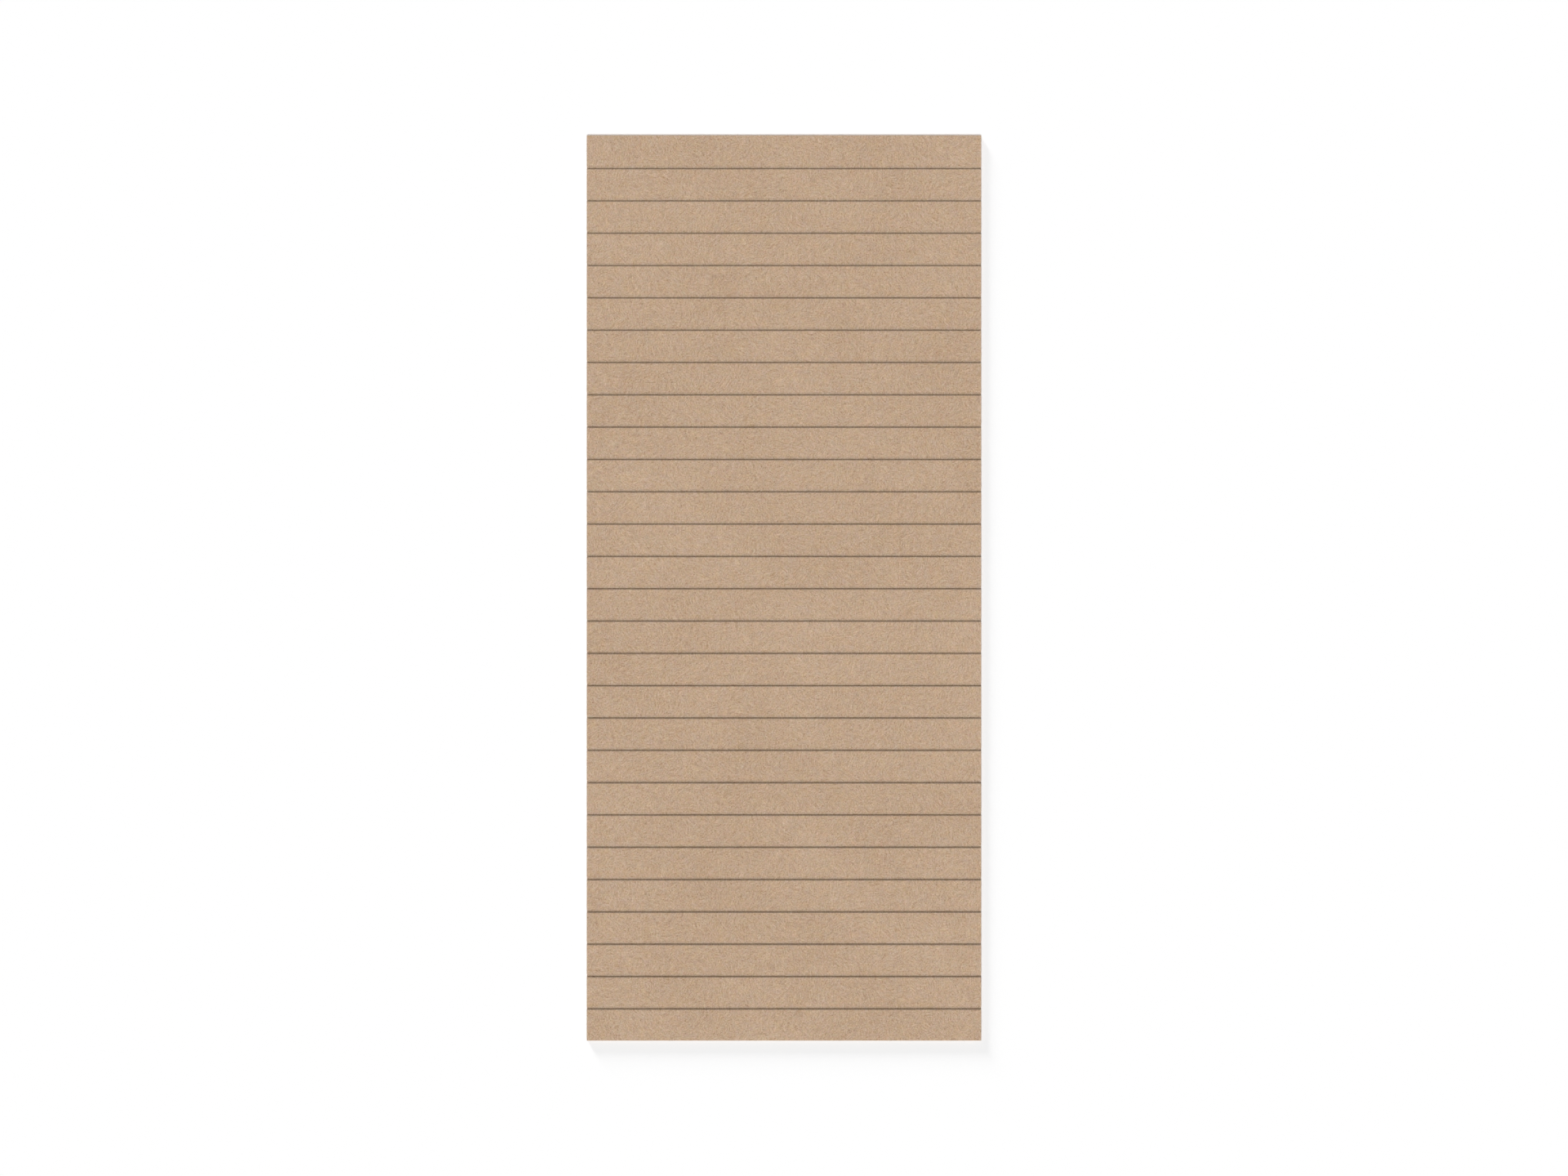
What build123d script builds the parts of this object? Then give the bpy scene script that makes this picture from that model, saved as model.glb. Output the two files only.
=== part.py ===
from build123d import *
import math
import os

# V-grooved acoustic panel: one sheet of pressed felt, lying flat on its back, grooved face up.
# X runs across the width, Y runs up the length of the hung panel and Z comes out of its face.
# The origin is the middle of the back. All sizes are in millimetres.

# The sheet
sheet_length = 2800.0
sheet_width = 1220.0
sheet_thickness = 12.0

# The V-grooves, which run straight across the full width
groove_pitch = 100.0
groove_depth = 6.0
groove_angle = 90.0
least_end_strip = 30.0

# Soft arrises, as a blade leaves them in pressed fibre
groove_arris_radius = 0.4
sheet_arris_radius = 0.5

# The first groove lies one pitch below the top edge, and no cut leaves a narrow last strip
groove_count = int((sheet_length - least_end_strip) / groove_pitch)
groove_rows = [sheet_length / 2 - groove_pitch * (n + 1) for n in range(groove_count)]
groove_half_mouth = groove_depth * math.tan(math.radians(groove_angle / 2))

with BuildPart() as grooved_panel:
    # The plain sheet, cut square, with its face's outline softened
    with BuildSketch():
        Rectangle(sheet_width, sheet_length)
    extrude(amount=sheet_thickness)
    fillet(grooved_panel.faces().sort_by(Axis.Z)[-1].edges(), radius=sheet_arris_radius)

    # A V-cut for each row, from one long side to the other
    with BuildSketch(Plane.YZ.offset(-sheet_width / 2)):
        for row in groove_rows:
            with BuildLine():
                Polyline(
                    (row - groove_half_mouth, sheet_thickness),
                    (row, sheet_thickness - groove_depth),
                    (row + groove_half_mouth, sheet_thickness),
                    close=True,
                )
            make_face()
    extrude(amount=sheet_width, mode=Mode.SUBTRACT)

    # The two edges of each mouth, softened where the blade went in
    face_edges = grooved_panel.edges().filter_by(Axis.X).group_by(Axis.Z)[-1]
    mouth_edges = face_edges.sort_by(Axis.Y)[1:-1]
    fillet(mouth_edges, radius=groove_arris_radius)

grooved_panel.part.label = "grooved_panel"

os.makedirs("parts", exist_ok=True)
export_step(grooved_panel.part, "parts/grooved_panel.step")
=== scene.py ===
import math

import bpy
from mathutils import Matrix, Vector


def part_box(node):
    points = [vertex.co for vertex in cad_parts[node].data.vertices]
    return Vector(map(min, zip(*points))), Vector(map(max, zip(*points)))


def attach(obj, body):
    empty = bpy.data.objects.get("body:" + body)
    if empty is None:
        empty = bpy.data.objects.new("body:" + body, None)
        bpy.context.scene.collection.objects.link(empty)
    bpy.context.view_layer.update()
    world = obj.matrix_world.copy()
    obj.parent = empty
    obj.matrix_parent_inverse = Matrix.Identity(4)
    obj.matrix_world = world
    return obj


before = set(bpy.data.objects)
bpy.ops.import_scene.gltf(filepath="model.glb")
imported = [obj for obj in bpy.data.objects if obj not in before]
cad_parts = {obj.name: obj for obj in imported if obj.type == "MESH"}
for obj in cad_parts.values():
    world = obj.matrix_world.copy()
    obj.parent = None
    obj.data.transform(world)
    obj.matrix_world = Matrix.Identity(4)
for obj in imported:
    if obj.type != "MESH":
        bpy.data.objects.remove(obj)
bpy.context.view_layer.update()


# Grooved panel
# One sheet of tan polyester felt, pressed until it keeps its own shape. It is cut square, and a
# V-shaped blade has grooved it. Each groove has painted shade over its lower flank and in the root
# of its upper flank, and painted light on the upper flank towards its mouth. Its finish is a mat of
# short curled fibres in tufts, with slow clouds of dye and small dark specks.

# The felt's darkest and lightest colour, and four casts of hue that wander over it
FELT_DARK = (0.318, 0.191, 0.104, 1.0)
FELT_LIGHT = (0.722, 0.547, 0.402, 1.0)
WARM_CAST = (1.035, 1.008, 0.940, 1.0)
COOL_CAST = (0.965, 0.992, 1.060, 1.0)
PINK_CAST = (1.022, 0.960, 1.016, 1.0)
GREEN_CAST = (0.978, 1.040, 0.984, 1.0)
# How light the felt is against its face: on a groove's two flanks, at mouth and root, as painted
# light and shade, and on its sides
UPPER_MOUTH_PAINTED_LIGHT = (1.025, 1.055, 1.085, 1.0)
UPPER_ROOT_PAINTED_SHADE = (0.850, 0.925, 0.985, 1.0)
LOWER_MOUTH_PAINTED_SHADE = (0.665, 0.710, 0.775, 1.0)
LOWER_ROOT_PAINTED_SHADE = (0.645, 0.655, 0.620, 1.0)
CUT_SIDE_SHARE = (0.86, 0.86, 0.87, 1.0)
# The power that keeps the upper flank's painted shade close to the root
CREASE_SHADE_POWER = 5.0
ROUGHNESS_OF_DARK = 1.0
ROUGHNESS_OF_LIGHT = 0.85
FIBRE_RELIEF = 0.0005
# The sides show the mat edge on, as layers this many times thinner than they are long
LAYER_STRETCH = 6.0
# The grooves as the sheet has them, and the width that a softened edge takes
GROOVE_PITCH = 0.100
GROOVE_HALF_MOUTH = 0.006
ARRIS = 0.0006


def plug(tree, socket, value):
    """Links a value that is itself a socket, and writes any other value on the socket."""
    if isinstance(value, bpy.types.NodeSocket):
        tree.links.new(value, socket)
    else:
        socket.default_value = value


def add_node(tree, kind, inputs, **settings):
    """Adds a node with these settings, and fills the inputs given by name or number."""
    made = tree.nodes.new(kind)
    for name, value in settings.items():
        setattr(made, name, value)
    for name, value in inputs.items():
        plug(tree, made.inputs[name], value)
    return made


def place(tree, kind, inputs, **settings):
    """Adds a shader node of this kind."""
    return add_node(tree, "ShaderNode" + kind, inputs, **settings)


def reckon(tree, operation, *values):
    """One step of arithmetic on numbers."""
    return place(tree, "Math", dict(enumerate(values)), operation=operation).outputs[0]


def reckon_vector(tree, operation, *values):
    """One step of arithmetic on vectors."""
    return place(tree, "VectorMath", dict(enumerate(values)), operation=operation).outputs[0]


def scale_vector(tree, vector, factor):
    """Makes a vector longer or shorter."""
    return place(tree, "VectorMath", {0: vector, "Scale": factor}, operation="SCALE").outputs[0]


def fade(tree, value, start, end, first=0.0, last=1.0):
    """Goes smoothly from first to last as the value goes from start to end."""
    inputs = dict(enumerate((value, start, end, first, last)))
    return place(tree, "MapRange", inputs, interpolation_type="SMOOTHSTEP").outputs[0]


def blend(tree, factor, first, second, kind="MIX"):
    """Mixes two colours."""
    inputs = {0: factor, 6: first, 7: second}
    return place(tree, "Mix", inputs, data_type="RGBA", blend_type=kind).outputs[2]


def spots(tree, vector, size, detail=1.0, dimensions="2D", roughness=0.5):
    """Soft noise whose spots are about this size, in metres."""
    inputs = {"Vector": vector, "Scale": 1.0 / size, "Detail": detail, "Roughness": roughness}
    return place(tree, "TexNoise", inputs, noise_dimensions=dimensions)


def open_group(name, inputs, outputs):
    """Starts a node group with these sockets, and gives its tree and its two ends."""
    made = bpy.data.node_groups.new(name, "ShaderNodeTree")
    for direction, sockets in (("INPUT", inputs), ("OUTPUT", outputs)):
        for socket, kind in sockets.items():
            made.interface.new_socket(name=socket, in_out=direction, socket_type="NodeSocket" + kind)
    return made, made.nodes.new("NodeGroupInput").outputs, made.nodes.new("NodeGroupOutput").inputs


def use_group(tree, group, inputs):
    """Adds a group to a tree, and gives its outputs."""
    return place(tree, "Group", inputs, node_tree=group).outputs


# How far apart two tufts read the noise, and how finely their fibres fray
TUFT_DISTANCE = 50.0
TUFT_FRAY = 1.5


def make_tufts():
    """One layer of tufts: each holds short fibres side by side, and lies its own way."""
    tree, given, result = open_group(
        "felt_tufts",
        {"Vector": "Vector", "Tuft": "Float", "Fibre": "Vector"},
        {"Fibres": "Float"},
    )
    net = place(tree, "TexVoronoi", {
        "Vector": scale_vector(tree, given["Vector"], reckon(tree, "DIVIDE", 1.0, given["Tuft"])),
        "Scale": 1.0,
    }, voronoi_dimensions="2D")
    middle = scale_vector(tree, net.outputs["Position"], given["Tuft"])
    chance = place(tree, "SeparateColor", {0: net.outputs["Color"]}).outputs[0]
    turned = place(tree, "VectorRotate", {
        "Vector": reckon_vector(tree, "SUBTRACT", given["Vector"], middle),
        "Angle": reckon(tree, "MULTIPLY", chance, 2 * math.pi),
    }, rotation_type="Z_AXIS").outputs[0]
    combed = reckon_vector(tree, "DIVIDE", turned, given["Fibre"])
    moved = reckon_vector(tree, "ADD", combed, scale_vector(tree, net.outputs["Color"], TUFT_DISTANCE))
    strands = place(tree, "TexNoise", {
        "Vector": moved, "Scale": 1.0, "Detail": TUFT_FRAY,
    }, noise_dimensions="2D").outputs[0]
    plug(tree, result["Fibres"], reckon(tree, "SUBTRACT", strands, 0.5))
    return tree


# Size of a tuft, size of its fibres along, across and through the mat, and the layer's share of tone
TUFT_LAYERS = (
    (0.080, (0.0340, 0.0026, 1.0), 1.03),
    (0.044, (0.0190, 0.0022, 1.0), 1.03),
    (0.013, (0.0060, 0.0006, 1.0), 0.82),
)
# Slow swirls that curl the fibres: their size, and how far they push a fibre
SWIRL_SIZE = 0.045
SWIRL_REACH = 0.028
# Size of the other spots, and how much each counts in the tone or in its cast
FLECK_SIZE = 0.0042
FLECK_SHARE = 1.27
CLOUD_SIZE = 0.42
CLOUD_SHARE = 0.52
CLOUD_DETAIL = 3.0
CLOUD_ROUGHNESS = 0.75
SPECK_SIZE = 0.0055
SPECK_SHARE = -0.42
SPECK_RIM = 0.27
SPECK_CORE = 0.18
WARM_SIZE = 0.0135
WARM_SHARE = 1.22
PINK_SIZE = 0.009
PINK_SHARE = 1.1
# How much the swirls count in the warm and in the pink cast, each about its middle
SWIRL_CASTS = (0.75, 0.40, 0.0)
MIDDLE = (0.5, 0.5, 0.5)


def make_mat():
    """The mat of fibres and dye: how light the felt is, its casts of hue and its relief."""
    tree, given, result = open_group(
        "felt_mat",
        {"Place": "Vector", "Face": "Vector"},
        {"Tone": "Float", "Warmth": "Float", "Pink": "Float", "Height": "Float"},
    )
    swirl = spots(tree, given["Face"], SWIRL_SIZE).outputs[1]
    push = reckon_vector(tree, "SUBTRACT", swirl, MIDDLE)
    curled = reckon_vector(tree, "ADD", given["Face"], scale_vector(tree, push, SWIRL_REACH))
    flecks = reckon(tree, "SUBTRACT", spots(tree, given["Face"], FLECK_SIZE).outputs[0], 0.5)
    relief = flecks
    tone = reckon(tree, "MULTIPLY", flecks, FLECK_SHARE)
    for tuft, fibre, share in TUFT_LAYERS:
        layer = use_group(tree, tufts, {"Vector": curled, "Tuft": tuft, "Fibre": fibre})["Fibres"]
        tone = reckon(tree, "MULTIPLY_ADD", layer, share, tone)
        relief = reckon(tree, "ADD", layer, relief)
    clouds = spots(tree, given["Place"], CLOUD_SIZE, CLOUD_DETAIL, "3D", CLOUD_ROUGHNESS).outputs[0]
    tone = reckon(tree, "MULTIPLY_ADD", reckon(tree, "SUBTRACT", clouds, 0.5), CLOUD_SHARE, tone)
    specks = spots(tree, given["Face"], SPECK_SIZE, 0.0).outputs[0]
    tone = reckon(tree, "MULTIPLY_ADD", fade(tree, specks, SPECK_RIM, SPECK_CORE), SPECK_SHARE, tone)
    slow = reckon_vector(tree, "MULTIPLY_ADD", push, SWIRL_CASTS, MIDDLE)
    slow = place(tree, "SeparateXYZ", {0: slow})
    warm = reckon(tree, "SUBTRACT", spots(tree, given["Face"], WARM_SIZE).outputs[0], 0.5)
    pink = reckon(tree, "SUBTRACT", spots(tree, given["Face"], PINK_SIZE).outputs[0], 0.5)
    plug(tree, result["Tone"], tone)
    plug(tree, result["Warmth"], reckon(tree, "MULTIPLY_ADD", warm, WARM_SHARE, slow.outputs[0]))
    plug(tree, result["Pink"], reckon(tree, "MULTIPLY_ADD", pink, PINK_SHARE, slow.outputs[1]))
    plug(tree, result["Height"], relief)
    return tree


tufts = make_tufts()
mat = make_mat()

felt = bpy.data.materials.new("pressed_felt")
felt.use_nodes = True
tree = felt.node_tree
shader = tree.nodes["Principled BSDF"]
spot = place(tree, "TexCoord", {}).outputs["Object"]
axes = place(tree, "SeparateXYZ", {0: spot})
x, y, z = axes.outputs[0], axes.outputs[1], axes.outputs[2]
half_width, half_length, face_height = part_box("grooved_panel")[1]

# How much of a point lies on a cut side, and how much on a groove's flank, neither face nor back
past_side = reckon(tree, "SUBTRACT", reckon(tree, "ABSOLUTE", x), half_width - ARRIS)
past_end = reckon(tree, "SUBTRACT", reckon(tree, "ABSOLUTE", y), half_length - ARRIS)
side = fade(tree, reckon(tree, "MAXIMUM", past_side, past_end), 0.0, ARRIS / 2)
from_root = reckon(tree, "WRAP", y, GROOVE_PITCH / 2, -GROOVE_PITCH / 2)
cut = fade(tree, z, face_height, face_height - ARRIS)
above_back = reckon(tree, "GREATER_THAN", z, face_height / 4)
cut = reckon(tree, "MULTIPLY", cut, above_back)
flank = reckon(tree, "MULTIPLY", cut, reckon(tree, "SUBTRACT", 1.0, side))
lower = reckon(tree, "LESS_THAN", from_root, -ARRIS / 2)
deepness = fade(tree, reckon(tree, "ABSOLUTE", from_root), GROOVE_HALF_MOUTH, ARRIS)

# The mat, seen from above on the face and edge on at the sides
layers = place(tree, "CombineXYZ", {
    0: reckon(tree, "ADD", x, y),
    1: reckon(tree, "MULTIPLY", z, LAYER_STRETCH),
})
face = place(tree, "Mix", {0: side, 4: spot, 5: layers.outputs[0]}, data_type="VECTOR").outputs[1]
fibres = use_group(tree, mat, {"Place": spot, "Face": face})

# The felt's colour and its casts, with painted light and shade on the grooves' flanks, and the sides' tone
share = reckon(tree, "MULTIPLY_ADD", fibres["Tone"], 0.5, 0.5)
base_colour = blend(tree, share, FELT_DARK, FELT_LIGHT)
base_colour = blend(tree, 1.0, base_colour, blend(tree, fibres["Warmth"], COOL_CAST, WARM_CAST), "MULTIPLY")
base_colour = blend(tree, 1.0, base_colour, blend(tree, fibres["Pink"], GREEN_CAST, PINK_CAST), "MULTIPLY")
# Painted shade over the lower flank, a little darker towards the root; on the upper flank, painted light
# towards the mouth and painted shade close to the root
lower_flank_shade = blend(tree, deepness, LOWER_MOUTH_PAINTED_SHADE, LOWER_ROOT_PAINTED_SHADE)
crease_shade = reckon(tree, "POWER", deepness, CREASE_SHADE_POWER)
upper_flank_light_and_shade = blend(tree, crease_shade, UPPER_MOUTH_PAINTED_LIGHT, UPPER_ROOT_PAINTED_SHADE)
flank_light_and_shade = blend(tree, lower, upper_flank_light_and_shade, lower_flank_shade)
base_colour = blend(tree, flank, base_colour, blend(tree, 1.0, base_colour, flank_light_and_shade, "MULTIPLY"))
base_colour = blend(tree, side, base_colour, blend(tree, 1.0, base_colour, CUT_SIDE_SHARE, "MULTIPLY"))
plug(tree, shader.inputs["Base Color"], base_colour)
roughness = fade(tree, share, 0.0, 1.0, ROUGHNESS_OF_DARK, ROUGHNESS_OF_LIGHT)
plug(tree, shader.inputs["Roughness"], roughness)
shader.inputs["Specular IOR Level"].default_value = 0.2
shader.inputs["Sheen Weight"].default_value = 0.12
shader.inputs["Sheen Roughness"].default_value = 0.5
shader.inputs["Sheen Tint"].default_value = (1.0, 0.85, 0.70, 1.0)
bump = place(tree, "Bump", {"Strength": 0.5, "Distance": FIBRE_RELIEF, "Height": fibres["Height"]})
plug(tree, shader.inputs["Normal"], bump.outputs[0])

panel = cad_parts["grooved_panel"]
panel.data.materials.clear()
panel.data.materials.append(felt)


# Loose fibres
# Bundles of a few polyester fibres that the press left loose on the face. Each is a short curled
# hair with its ends sunk in the mat. None crosses a groove or the outline, where a blade has been.

FIBRE_THICKNESS = 0.00036
# How far its first end is sunk, and how much it rises at each step
FIBRE_SINK = 0.0003
FIBRE_ARCH = (0.0003, 0.0003, 0.0, -0.0003, -0.0003)
# The share of its length that lies behind its place
FIBRE_BEHIND = 0.4
# The smallest and the largest copy
LEAST_COPY = 0.6
MOST_COPY = 1.2
FIBRE_COUNT = 6600
FIBRE_SEED = 3
# The least room between a fibre and a cut
FIBRE_CLEARANCE = 0.0005
FIBRE_LIGHT = (0.830, 0.680, 0.540, 1.0)
FIBRE_DARK = (0.245, 0.160, 0.105, 1.0)
# Size of the spots that say which fibre is dark, and where in them dark ends and light starts
CHOICE_SIZE = 0.020
DARK_BELOW = 0.36
LIGHT_ABOVE = 0.48
# From the shiniest fibre to the dullest, and the spots' values that these stand for
SHINY_AT = 0.3
DULL_AT = 0.7
SHINY_ROUGHNESS = 0.75
DULL_ROUGHNESS = 0.90
# Length in metres, and the turn in degrees at each step along the fibre
FIBRE_KINDS = (
    (0.026, (10.0, 25.0, -15.0, -30.0, 10.0)),
    (0.022, (0.0, -35.0, -30.0, 20.0, 30.0)),
    (0.018, (20.0, 35.0, 40.0, 25.0, 10.0)),
    (0.024, (-10.0, 15.0, 35.0, -20.0, -45.0)),
    (0.014, (0.0, -50.0, -45.0, -40.0, 10.0)),
)
LAND_COUNT = 28


def draw_fibre(name, start, length, thickness, turns, arch):
    """Draws one three-sided fibre out of its first end, step by step, turning at each step."""
    bpy.ops.object.select_all(action="DESELECT")
    tip = Vector((start, 0.0, -FIBRE_SINK))
    bpy.ops.mesh.primitive_circle_add(
        vertices=3, radius=thickness / 2, fill_type="NGON", location=tip, rotation=(0.0, math.pi / 2, 0.0))
    made = bpy.context.object
    made.name = name
    bpy.ops.object.transform_apply(location=True, rotation=True, scale=True)
    bpy.ops.object.mode_set(mode="EDIT")
    bpy.ops.mesh.select_all(action="SELECT")
    heading = 0.0
    for turn, rise in zip(turns, arch):
        heading += math.radians(turn)
        stride = length / len(turns)
        step = Vector((math.cos(heading) * stride, math.sin(heading) * stride, rise))
        bpy.ops.mesh.extrude_region_move(TRANSFORM_OT_translate={"value": step})
        tip = tip + step
        bpy.ops.transform.rotate(value=-math.radians(turn), orient_axis="Z", center_override=tip)
    bpy.ops.mesh.select_all(action="SELECT")
    bpy.ops.mesh.normals_make_consistent(inside=False)
    bpy.ops.object.mode_set(mode="OBJECT")
    return made


def open_shaping(name):
    """Starts a geometry tree, and gives it with the mesh that comes in and the one that goes out."""
    tree = bpy.data.node_groups.new(name, "GeometryNodeTree")
    tree.interface.new_socket(name="Geometry", in_out="INPUT", socket_type="NodeSocketGeometry")
    tree.interface.new_socket(name="Geometry", in_out="OUTPUT", socket_type="NodeSocketGeometry")
    return tree, tree.nodes.new("NodeGroupInput").outputs[0], tree.nodes.new("NodeGroupOutput").inputs[0]


def shape_by(piece, tree):
    """Runs a geometry tree on a piece, and keeps what it makes."""
    shaping = piece.modifiers.new(tree.name, "NODES")
    shaping.node_group = tree
    bpy.ops.object.select_all(action="DESELECT")
    piece.select_set(True)
    bpy.context.view_layer.objects.active = piece
    bpy.ops.object.modifier_apply(modifier=shaping.name)


def add_strips(name, middle, lean, turn, size, count):
    """Adds a flat strip of the sheet's surface, and copies it up the sheet, one groove apart."""
    bpy.ops.object.select_all(action="DESELECT")
    bpy.ops.mesh.primitive_plane_add(size=1.0, location=middle, rotation=(lean, 0.0, turn))
    strip = bpy.context.object
    strip.name = name
    strip.scale = (size[0], size[1], 1.0)
    bpy.ops.object.transform_apply(location=True, rotation=True, scale=True)
    rows = strip.modifiers.new("rows", "ARRAY")
    rows.count = count
    rows.use_relative_offset = False
    rows.use_constant_offset = True
    rows.constant_offset_displace = (0.0, GROOVE_PITCH, 0.0)
    bpy.ops.object.modifier_apply(modifier=rows.name)
    return strip


def strew(ground, kinds, count, turn_low, turn_high, seed):
    """Strews copies of the kinds over the ground's faces, which they take the place of. It draws
    from three seeds in a row."""
    tree, given, result = open_shaping("strewn")
    area = sum(face.area for face in ground.data.polygons)
    points = add_node(tree, "GeometryNodeDistributePointsOnFaces", {
        "Mesh": given, "Density": count / area, "Seed": seed})
    choice = tree.nodes.new("GeometryNodeGeometryToInstance")
    for kind in kinds:
        shape = add_node(tree, "GeometryNodeObjectInfo", {"Object": kind}, transform_space="ORIGINAL")
        tree.links.new(shape.outputs["Geometry"], choice.inputs[0])
    turn = add_node(tree, "FunctionNodeRandomValue", {
        0: turn_low, 1: turn_high, "Seed": seed + 1}, data_type="FLOAT_VECTOR")
    size = add_node(tree, "FunctionNodeRandomValue", {
        2: LEAST_COPY, 3: MOST_COPY, "Seed": seed + 2}, data_type="FLOAT")
    copies = add_node(tree, "GeometryNodeInstanceOnPoints", {
        "Points": points.outputs["Points"], "Instance": choice.outputs[0], "Pick Instance": True,
        "Rotation": turn.outputs["Value"], "Scale": size.outputs[1]})
    real = add_node(tree, "GeometryNodeRealizeInstances", {"Geometry": copies.outputs[0]})
    tree.links.new(real.outputs[0], result)
    shape_by(ground, tree)
    bpy.ops.object.shade_smooth()


def take_out_cut(piece):
    """Takes out each fibre that has a point over a groove or past the sheet's outline."""
    tree, given, result = open_shaping("cut_taken_out")
    axes = place(tree, "SeparateXYZ", {0: tree.nodes.new("GeometryNodeInputPosition").outputs[0]})
    from_side = reckon(tree, "SUBTRACT", half_width, reckon(tree, "ABSOLUTE", axes.outputs[0]))
    wrapped = reckon(tree, "WRAP", axes.outputs[1], GROOVE_PITCH / 2, -GROOVE_PITCH / 2)
    from_mouth = reckon(tree, "SUBTRACT", reckon(tree, "ABSOLUTE", wrapped), GROOVE_HALF_MOUTH)
    room = reckon(tree, "MINIMUM", from_side, from_mouth)
    bad_points = add_node(tree, "GeometryNodeAccumulateField", {
        "Value": reckon(tree, "LESS_THAN", room, FIBRE_CLEARANCE),
        "Group ID": tree.nodes.new("GeometryNodeInputMeshIsland").outputs["Island Index"],
    }, data_type="FLOAT").outputs["Total"]
    kept = add_node(tree, "GeometryNodeDeleteGeometry", {
        "Geometry": given, "Selection": reckon(tree, "GREATER_THAN", bad_points, 0.5)})
    tree.links.new(kept.outputs[0], result)
    shape_by(piece, tree)


kinds = [
    draw_fibre(f"fibre_{number}", -length * FIBRE_BEHIND, length, FIBRE_THICKNESS, turns, FIBRE_ARCH)
    for number, (length, turns) in enumerate(FIBRE_KINDS)
]
land = GROOVE_PITCH - 2 * GROOVE_HALF_MOUTH
first_land = GROOVE_PITCH / 2 - half_length
loose = add_strips(
    "loose_fibres", (0.0, first_land, face_height), 0.0, 0.0, (2 * half_width, land), LAND_COUNT)
strew(loose, kinds, FIBRE_COUNT, (0.0, 0.0, 0.0), (0.0, 0.0, 2 * math.pi), FIBRE_SEED)
take_out_cut(loose)
for kind in kinds:
    bpy.data.objects.remove(kind)

fibre = bpy.data.materials.new("loose_fibre")
fibre.use_nodes = True
tree = fibre.node_tree
shader = tree.nodes["Principled BSDF"]
spot = place(tree, "TexCoord", {}).outputs["Object"]
fibres = use_group(tree, mat, {"Place": spot, "Face": spot})
choice = spots(tree, spot, CHOICE_SIZE, 0.0, "3D").outputs[0]
base_colour = blend(tree, fade(tree, choice, DARK_BELOW, LIGHT_ABOVE), FIBRE_DARK, FIBRE_LIGHT)
base_colour = blend(tree, 1.0, base_colour, blend(tree, fibres["Warmth"], COOL_CAST, WARM_CAST), "MULTIPLY")
plug(tree, shader.inputs["Base Color"], base_colour)
roughness = fade(tree, choice, SHINY_AT, DULL_AT, SHINY_ROUGHNESS, DULL_ROUGHNESS)
plug(tree, shader.inputs["Roughness"], roughness)
shader.inputs["Specular IOR Level"].default_value = 0.3
shader.inputs["Sheen Weight"].default_value = 0.2
loose.data.materials.clear()
loose.data.materials.append(fibre)
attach(loose, "root")


# Cut ends
# Short ends of fibre that stand out wherever a blade has cut the felt: along both edges of each
# groove, leaning over it, and all over the four sides of the sheet.

END_THICKNESS = 0.00022
# Where an end starts, behind its place
END_START = -0.0008
END_ARCH = (0.0002, 0.0001, 0.0001)
# Length in metres, and the turn in degrees at each step
END_KINDS = (
    (0.0034, (0.0, 20.0, 25.0)),
    (0.0028, (10.0, -25.0, -30.0)),
    (0.0040, (-10.0, 15.0, -35.0)),
)
# How far an end may tilt up, tilt down, and turn away from its strip's heading
END_TILT_UP = math.radians(-25.0)
END_TILT_DOWN = math.radians(12.0)
END_SPREAD = math.radians(55.0)
END_SEED = 20
SEEDS_EACH = 3
# Width of a strip along a groove's mouth, and the bare rim of a strip on a side
MOUTH_STRIP = 0.0004
SIDE_MARGIN = 0.001
# How many ends stand along all upper or all lower mouths, on a short side and on a long side
MOUTH_ENDS = 2600
SHORT_SIDE_ENDS = 340
LONG_SIDE_ENDS = 700

kinds = [
    draw_fibre(f"end_{number}", END_START, length, END_THICKNESS, turns, END_ARCH)
    for number, (length, turns) in enumerate(END_KINDS)
]
width = 2 * (half_width - SIDE_MARGIN)
tall = face_height - 2 * SIDE_MARGIN
first_root = GROOVE_PITCH - half_length
middle_height = face_height / 2
upright = math.pi / 2
# Middle, lean, turn and size of a strip, how many of it, how many ends on them all, and their heading
END_ROWS = (
    ((0.0, first_root - GROOVE_HALF_MOUTH, face_height), 0.0, 0.0, (width, MOUTH_STRIP),
     LAND_COUNT - 1, MOUTH_ENDS, 90.0),
    ((0.0, first_root + GROOVE_HALF_MOUTH, face_height), 0.0, 0.0, (width, MOUTH_STRIP),
     LAND_COUNT - 1, MOUTH_ENDS, -90.0),
    ((0.0, half_length, middle_height), upright, 0.0, (width, tall), 1, SHORT_SIDE_ENDS, 90.0),
    ((0.0, -half_length, middle_height), upright, 0.0, (width, tall), 1, SHORT_SIDE_ENDS, -90.0),
    ((half_width, first_land, middle_height), upright, upright, (land, tall),
     LAND_COUNT, LONG_SIDE_ENDS, 0.0),
    ((-half_width, first_land, middle_height), upright, upright, (land, tall),
     LAND_COUNT, LONG_SIDE_ENDS, 180.0),
)
strips = []
for number, (middle, lean, turn, size, copies, count, heading) in enumerate(END_ROWS):
    strip = add_strips(f"cut_row_{number}", middle, lean, turn, size, copies)
    way = math.radians(heading)
    lowest = (0.0, END_TILT_UP, way - END_SPREAD)
    highest = (0.0, END_TILT_DOWN, way + END_SPREAD)
    strew(strip, kinds, count, lowest, highest, END_SEED + SEEDS_EACH * number)
    strips.append(strip)
for kind in kinds:
    bpy.data.objects.remove(kind)
bpy.ops.object.select_all(action="DESELECT")
for strip in strips:
    strip.select_set(True)
ends = strips[0]
bpy.context.view_layer.objects.active = ends
bpy.ops.object.join()
ends.name = "cut_ends"
ends.data.materials.clear()
ends.data.materials.append(fibre)
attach(ends, "root")


# Floor
# A plain matt studio floor, painted white and without a seam, which the sheet lies on. It keeps
# the sheet's shadow.

FLOOR_SIDE = 60.0
# The gap that keeps the floor from showing through the sheet's back
FLOOR_DROP = 0.0002
WHITE = (1.0, 1.0, 1.0, 1.0)

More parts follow.
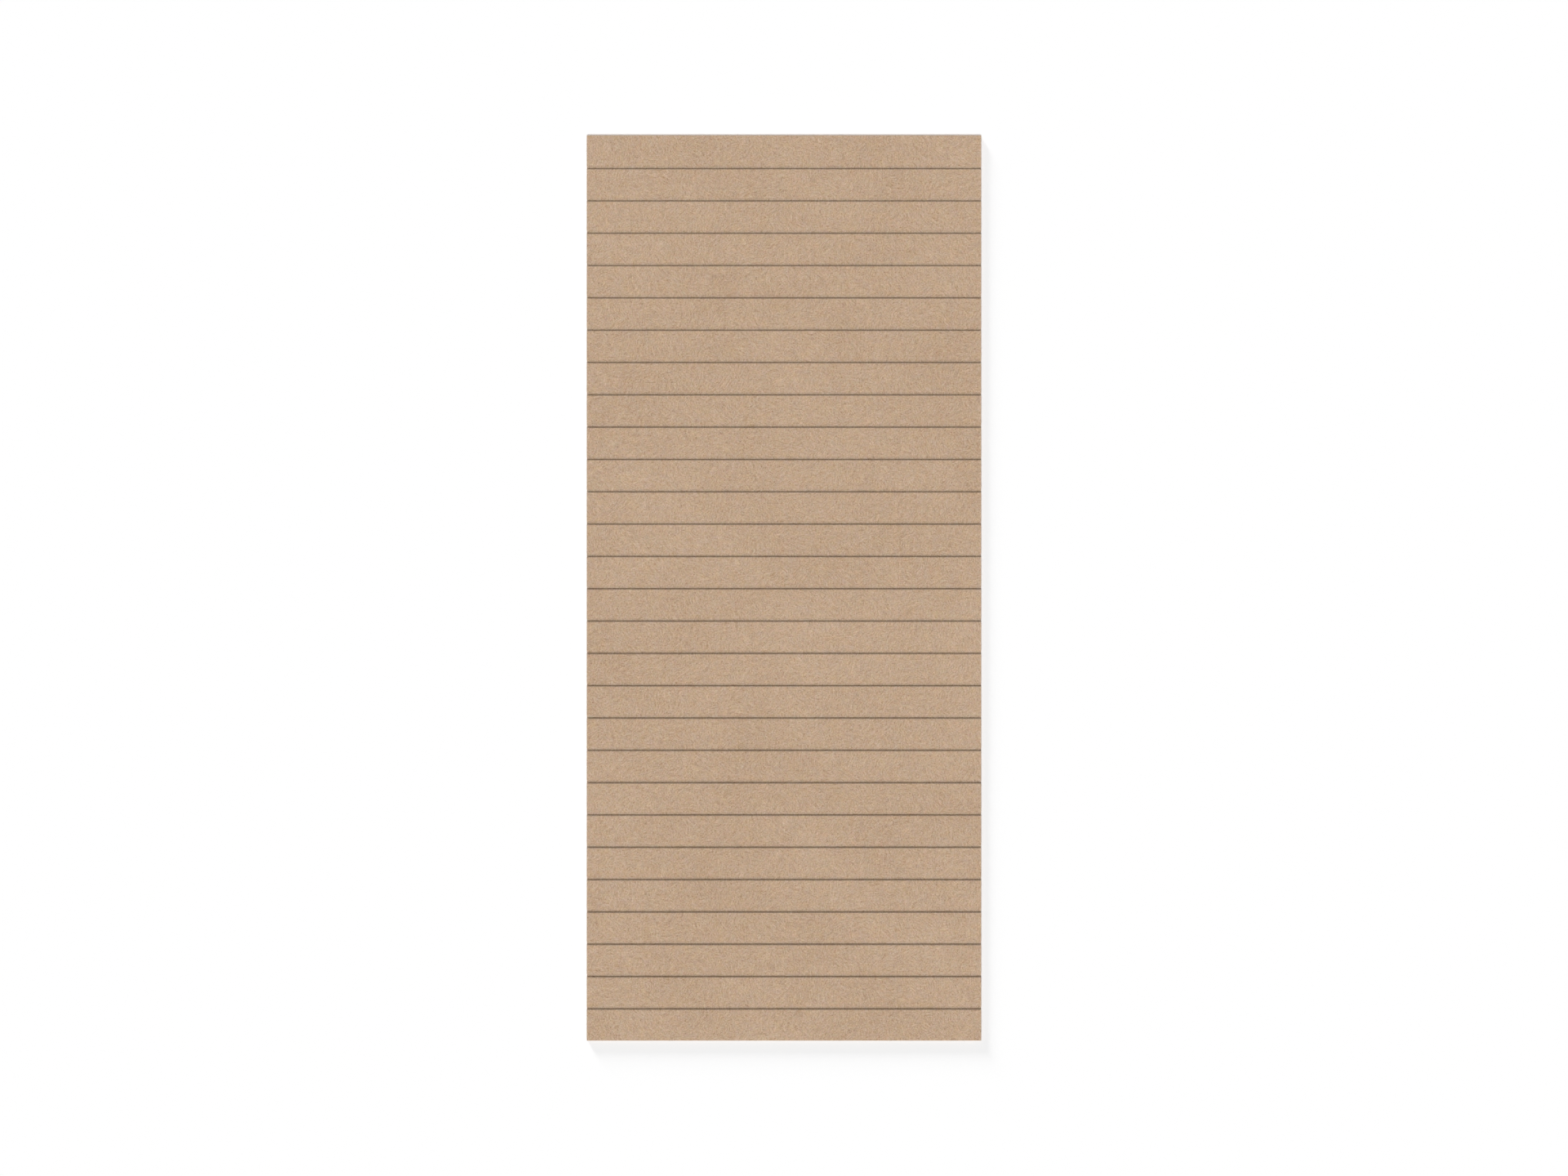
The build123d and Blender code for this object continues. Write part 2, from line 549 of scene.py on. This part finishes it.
bpy.ops.object.select_all(action="DESELECT")
bpy.ops.mesh.primitive_plane_add(size=FLOOR_SIDE, location=(0.0, 0.0, -FLOOR_DROP))
floor = bpy.context.object
floor.name = "floor"
bpy.ops.object.transform_apply(location=True, rotation=True, scale=True)
floor_finish = bpy.data.materials.new("studio_floor")
floor_finish.use_nodes = True
floor_shader = floor_finish.node_tree.nodes["Principled BSDF"]
floor_shader.inputs["Base Color"].default_value = WHITE
floor_shader.inputs["Roughness"].default_value = 1.0
floor_shader.inputs["Specular IOR Level"].default_value = 0.0
floor.data.materials.append(floor_finish)


# Light
# A broad key light from the lower end, tilted off the sheet's face, a low raking light from
# the upper left that draws the short shadow on the floor, and an even studio glow.

KEY_TILT = 22.0
KEY_TURN = 0.0
KEY_SHARE = 0.75
KEY_SOFTNESS = 30.0
RAKE_TILT = 80.0
RAKE_TURN = 210.0
RAKE_SHARE = 0.12
RAKE_SOFTNESS = 12.0
GLOW_SHARE = 0.13


def sun(name, tilt, turn, share, softness):
    """A far lamp, tilted off the vertical and turned round it. Its share is the part that it
    gives of the light on a level face."""
    bpy.ops.object.light_add(type="SUN", rotation=(0.0, 0.0, 0.0))
    lamp = bpy.context.object
    lamp.name = name
    lamp.rotation_euler = (math.radians(tilt), 0.0, math.radians(turn))
    lamp.data.energy = share * math.pi / math.cos(math.radians(tilt))
    lamp.data.angle = math.radians(softness)


sun("key_light", KEY_TILT, KEY_TURN, KEY_SHARE, KEY_SOFTNESS)
sun("raking_light", RAKE_TILT, RAKE_TURN, RAKE_SHARE, RAKE_SOFTNESS)

# The studio looks white to the camera and in reflections, and lights the sheet with its glow
world = bpy.data.worlds.new("studio")
world.use_nodes = True
bpy.context.scene.world = world
sky = world.node_tree
sky.nodes.clear()
rays = sky.nodes.new("ShaderNodeLightPath").outputs
glow = place(sky, "Background", {"Color": WHITE, "Strength": GLOW_SHARE})
white = place(sky, "Background", {"Color": WHITE, "Strength": 1.0})
shown = reckon(sky, "MAXIMUM", rays["Is Camera Ray"], rays["Is Glossy Ray"])
shown = reckon(sky, "MAXIMUM", shown, rays["Is Transmission Ray"])
mixed = place(sky, "MixShader", {0: shown, 1: glow.outputs[0], 2: white.outputs[0]})
place(sky, "OutputWorld", {"Surface": mixed.outputs[0]})


# Camera
# It looks straight down on the middle of the face, with the sheet's upper end at the top of
# the picture. The whole picture is as wide as the photograph's is at the face.

PICTURE_WIDTH_AT_FACE = 4.850
LENS = 65.0
SENSOR_WIDTH = 36.0
FARTHEST_SEEN = 100.0

bpy.ops.object.camera_add(location=(0.0, 0.0, 0.0), rotation=(0.0, 0.0, 0.0))
camera = bpy.context.object
camera.name = "camera"
camera.data.lens = LENS
camera.data.sensor_width = SENSOR_WIDTH
camera.data.dof.use_dof = False
camera.data.clip_end = FARTHEST_SEEN
camera.location = (0.0, 0.0, face_height + PICTURE_WIDTH_AT_FACE * LENS / SENSOR_WIDTH)
bpy.context.scene.camera = camera

bpy.context.scene.view_settings.view_transform = "Standard"
